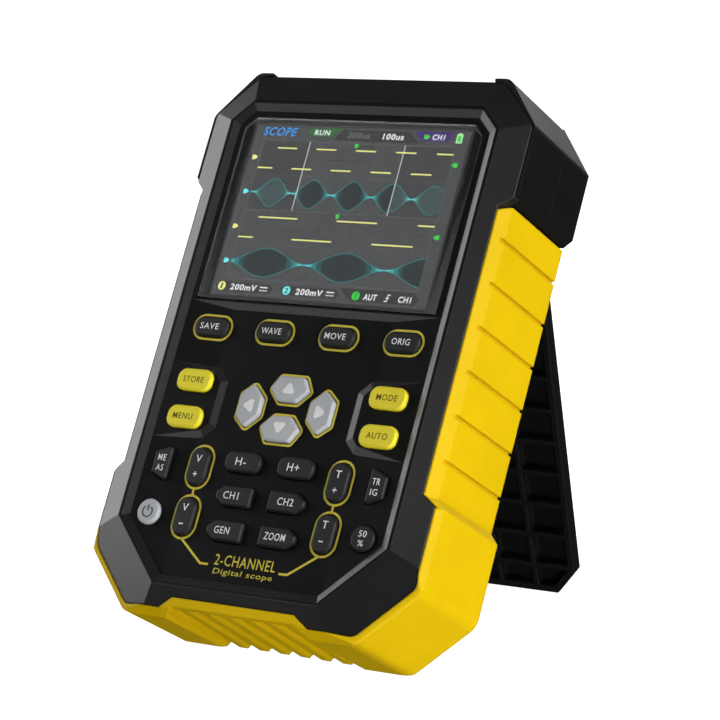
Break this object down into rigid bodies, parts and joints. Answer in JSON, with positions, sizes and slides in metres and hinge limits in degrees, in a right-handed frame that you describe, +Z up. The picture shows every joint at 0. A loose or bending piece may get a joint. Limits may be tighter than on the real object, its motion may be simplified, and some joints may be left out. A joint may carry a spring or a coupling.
{
  "type": "handheld oscilloscope",
  "caption": "Handheld digital oscilloscope with a colour display, rubber keypad, protective boot, sunken signal jacks on its top end, and a folding kick stand that props it up.",
  "frame": {"origin": "on the surface that the instrument stands on, midway across its width and midway between the front of its boot and the back of its stand's foot", "axes": "+Z up, +Y from the instrument's face towards its stand, +X to the right as seen from its face; the instrument stands on its open stand and leans back 27 degrees"},
  "size_m": [0.0924, 0.1247, 0.1349],
  "materials": {
    "bezel_black": "fine grained satin",
    "shell_black": "fine grained matte",
    "panel_black": "matte",
    "boot_yellow": "matte soft-touch",
    "stand_black": "matte",
    "lens_clear": "polished",
    "adhesive_black": "matte",
    "screen_black": "glossy",
    "frame_steel": "brushed",
    "flex_amber": "satin film",
    "foam_grey": "open cell",
    "connector_ivory": "moulded",
    "web_grey": "matte silicone",
    "board_green": "solder mask",
    "chip_black": "moulded",
    "can_tin": "tin plated",
    "jack_nickel": "bright nickel plate",
    "insulator_white": "smooth",
    "contact_gold": "gold plated",
    "socket_steel": "drawn",
    "battery_wrap": "shrink film",
    "wire_red": "smooth",
    "screw_steel": "blackened",
    "insert_brass": "machined",
    "pin_steel": "ground",
    "key_dark": "matte silicone",
    "key_yellow": "matte silicone",
    "key_light": "matte silicone"
  },
  "bodies": {
    "case": {"battery_connector": "connector_ivory", "battery_pack": "battery_wrap", "battery_pad": "adhesive_black", "battery_wires": "wire_red", "bnc_contacts": "contact_gold", "bnc_insulators": "insulator_white", "bnc_jack_ch1": "jack_nickel", "bnc_jack_ch2": "jack_nickel", "bnc_jack_gen": "jack_nickel", "bnc_nuts": "jack_nickel", "bumper_boot": "boot_yellow", "buzzer": "chip_black", "case_screws": "screw_steel", "connector_panel": "panel_black", "display_lens": "lens_clear", "flex_connector": "connector_ivory", "front_bezel": "bezel_black", "front_housing": "shell_black", "hinge_pin": "pin_steel", "ic_packages": "chip_black", "keypad_web": "web_grey", "lcd_backlight": "frame_steel", "lcd_flex": "flex_amber", "lcd_foam": "foam_grey", "lcd_panel": "screen_black", "lens_adhesive": "adhesive_black", "main_pcb": "board_green", "pcb_screws": "screw_steel", "rear_housing": "shell_black", "shield_cans": "can_tin", "threaded_inserts": "insert_brass", "usb_c_socket": "socket_steel"},
    "stand": {"kick_stand": "stand_black"},
    "key_auto_cap": {"key_auto": "key_yellow"},
    "key_channel_1_cap": {"key_channel_1": "key_dark"},
    "key_channel_2_cap": {"key_channel_2": "key_dark"},
    "key_down_cap": {"key_down": "key_light"},
    "key_generator_cap": {"key_generator": "key_dark"},
    "key_half_level_cap": {"key_half_level": "key_dark"},
    "key_left_cap": {"key_left": "key_light"},
    "key_level_down_cap": {"key_level_down": "key_dark"},
    "key_level_up_cap": {"key_level_up": "key_dark"},
    "key_measure_cap": {"key_measure": "key_dark"},
    "key_memory_cap": {"key_memory": "key_yellow"},
    "key_menu_cap": {"key_menu": "key_yellow"},
    "key_mode_cap": {"key_mode": "key_yellow"},
    "key_move_cap": {"key_move": "key_dark"},
    "key_origin_cap": {"key_origin": "key_dark"},
    "key_power_cap": {"key_power": "key_light"},
    "key_right_cap": {"key_right": "key_light"},
    "key_save_picture_cap": {"key_save_picture": "key_dark"},
    "key_save_wave_cap": {"key_save_wave": "key_dark"},
    "key_time_down_cap": {"key_time_down": "key_dark"},
    "key_time_up_cap": {"key_time_up": "key_dark"},
    "key_trigger_cap": {"key_trigger": "key_dark"},
    "key_up_cap": {"key_up": "key_light"},
    "key_volts_down_cap": {"key_volts_down": "key_dark"},
    "key_volts_up_cap": {"key_volts_up": "key_dark"},
    "key_zoom_cap": {"key_zoom": "key_dark"}
  },
  "joints": [
    {"name": "stand_fold", "type": "hinge", "parent": "case", "child": "stand", "pos_m": [0, 0.02011, 0.10832], "axis": [-1, 0, 0], "range_deg": [0, 47.4]},
    {"name": "key_auto_press", "type": "slide", "parent": "case", "child": "key_auto_cap", "axis": [0, 0.891, -0.454], "range_m": [0, 0.0009], "stiffness_N_per_m": 1000},
    {"name": "key_channel_1_press", "type": "slide", "parent": "case", "child": "key_channel_1_cap", "axis": [0, 0.891, -0.454], "range_m": [0, 0.0009], "stiffness_N_per_m": 1000},
    {"name": "key_channel_2_press", "type": "slide", "parent": "case", "child": "key_channel_2_cap", "axis": [0, 0.891, -0.454], "range_m": [0, 0.0009], "stiffness_N_per_m": 1000},
    {"name": "key_down_press", "type": "slide", "parent": "case", "child": "key_down_cap", "axis": [0, 0.891, -0.454], "range_m": [0, 0.0009], "stiffness_N_per_m": 1000},
    {"name": "key_generator_press", "type": "slide", "parent": "case", "child": "key_generator_cap", "axis": [0, 0.891, -0.454], "range_m": [0, 0.0009], "stiffness_N_per_m": 1000},
    {"name": "key_half_level_press", "type": "slide", "parent": "case", "child": "key_half_level_cap", "axis": [0, 0.891, -0.454], "range_m": [0, 0.0009], "stiffness_N_per_m": 1000},
    {"name": "key_left_press", "type": "slide", "parent": "case", "child": "key_left_cap", "axis": [0, 0.891, -0.454], "range_m": [0, 0.0009], "stiffness_N_per_m": 1000},
    {"name": "key_level_down_press", "type": "slide", "parent": "case", "child": "key_level_down_cap", "axis": [0, 0.891, -0.454], "range_m": [0, 0.0009], "stiffness_N_per_m": 1000},
    {"name": "key_level_up_press", "type": "slide", "parent": "case", "child": "key_level_up_cap", "axis": [0, 0.891, -0.454], "range_m": [0, 0.0009], "stiffness_N_per_m": 1000},
    {"name": "key_measure_press", "type": "slide", "parent": "case", "child": "key_measure_cap", "axis": [0, 0.891, -0.454], "range_m": [0, 0.0009], "stiffness_N_per_m": 1000},
    {"name": "key_memory_press", "type": "slide", "parent": "case", "child": "key_memory_cap", "axis": [0, 0.891, -0.454], "range_m": [0, 0.0009], "stiffness_N_per_m": 1000},
    {"name": "key_menu_press", "type": "slide", "parent": "case", "child": "key_menu_cap", "axis": [0, 0.891, -0.454], "range_m": [0, 0.0009], "stiffness_N_per_m": 1000},
    {"name": "key_mode_press", "type": "slide", "parent": "case", "child": "key_mode_cap", "axis": [0, 0.891, -0.454], "range_m": [0, 0.0009], "stiffness_N_per_m": 1000},
    {"name": "key_move_press", "type": "slide", "parent": "case", "child": "key_move_cap", "axis": [0, 0.891, -0.454], "range_m": [0, 0.0009], "stiffness_N_per_m": 1000},
    {"name": "key_origin_press", "type": "slide", "parent": "case", "child": "key_origin_cap", "axis": [0, 0.891, -0.454], "range_m": [0, 0.0009], "stiffness_N_per_m": 1000},
    {"name": "key_power_press", "type": "slide", "parent": "case", "child": "key_power_cap", "axis": [0, 0.891, -0.454], "range_m": [0, 0.0009], "stiffness_N_per_m": 1000},
    {"name": "key_right_press", "type": "slide", "parent": "case", "child": "key_right_cap", "axis": [0, 0.891, -0.454], "range_m": [0, 0.0009], "stiffness_N_per_m": 1000},
    {"name": "key_save_picture_press", "type": "slide", "parent": "case", "child": "key_save_picture_cap", "axis": [0, 0.891, -0.454], "range_m": [0, 0.0009], "stiffness_N_per_m": 1000},
    {"name": "key_save_wave_press", "type": "slide", "parent": "case", "child": "key_save_wave_cap", "axis": [0, 0.891, -0.454], "range_m": [0, 0.0009], "stiffness_N_per_m": 1000},
    {"name": "key_time_down_press", "type": "slide", "parent": "case", "child": "key_time_down_cap", "axis": [0, 0.891, -0.454], "range_m": [0, 0.0009], "stiffness_N_per_m": 1000},
    {"name": "key_time_up_press", "type": "slide", "parent": "case", "child": "key_time_up_cap", "axis": [0, 0.891, -0.454], "range_m": [0, 0.0009], "stiffness_N_per_m": 1000},
    {"name": "key_trigger_press", "type": "slide", "parent": "case", "child": "key_trigger_cap", "axis": [0, 0.891, -0.454], "range_m": [0, 0.0009], "stiffness_N_per_m": 1000},
    {"name": "key_up_press", "type": "slide", "parent": "case", "child": "key_up_cap", "axis": [0, 0.891, -0.454], "range_m": [0, 0.0009], "stiffness_N_per_m": 1000},
    {"name": "key_volts_down_press", "type": "slide", "parent": "case", "child": "key_volts_down_cap", "axis": [0, 0.891, -0.454], "range_m": [0, 0.0009], "stiffness_N_per_m": 1000},
    {"name": "key_volts_up_press", "type": "slide", "parent": "case", "child": "key_volts_up_cap", "axis": [0, 0.891, -0.454], "range_m": [0, 0.0009], "stiffness_N_per_m": 1000},
    {"name": "key_zoom_press", "type": "slide", "parent": "case", "child": "key_zoom_cap", "axis": [0, 0.891, -0.454], "range_m": [0, 0.0009], "stiffness_N_per_m": 1000}
  ]
}
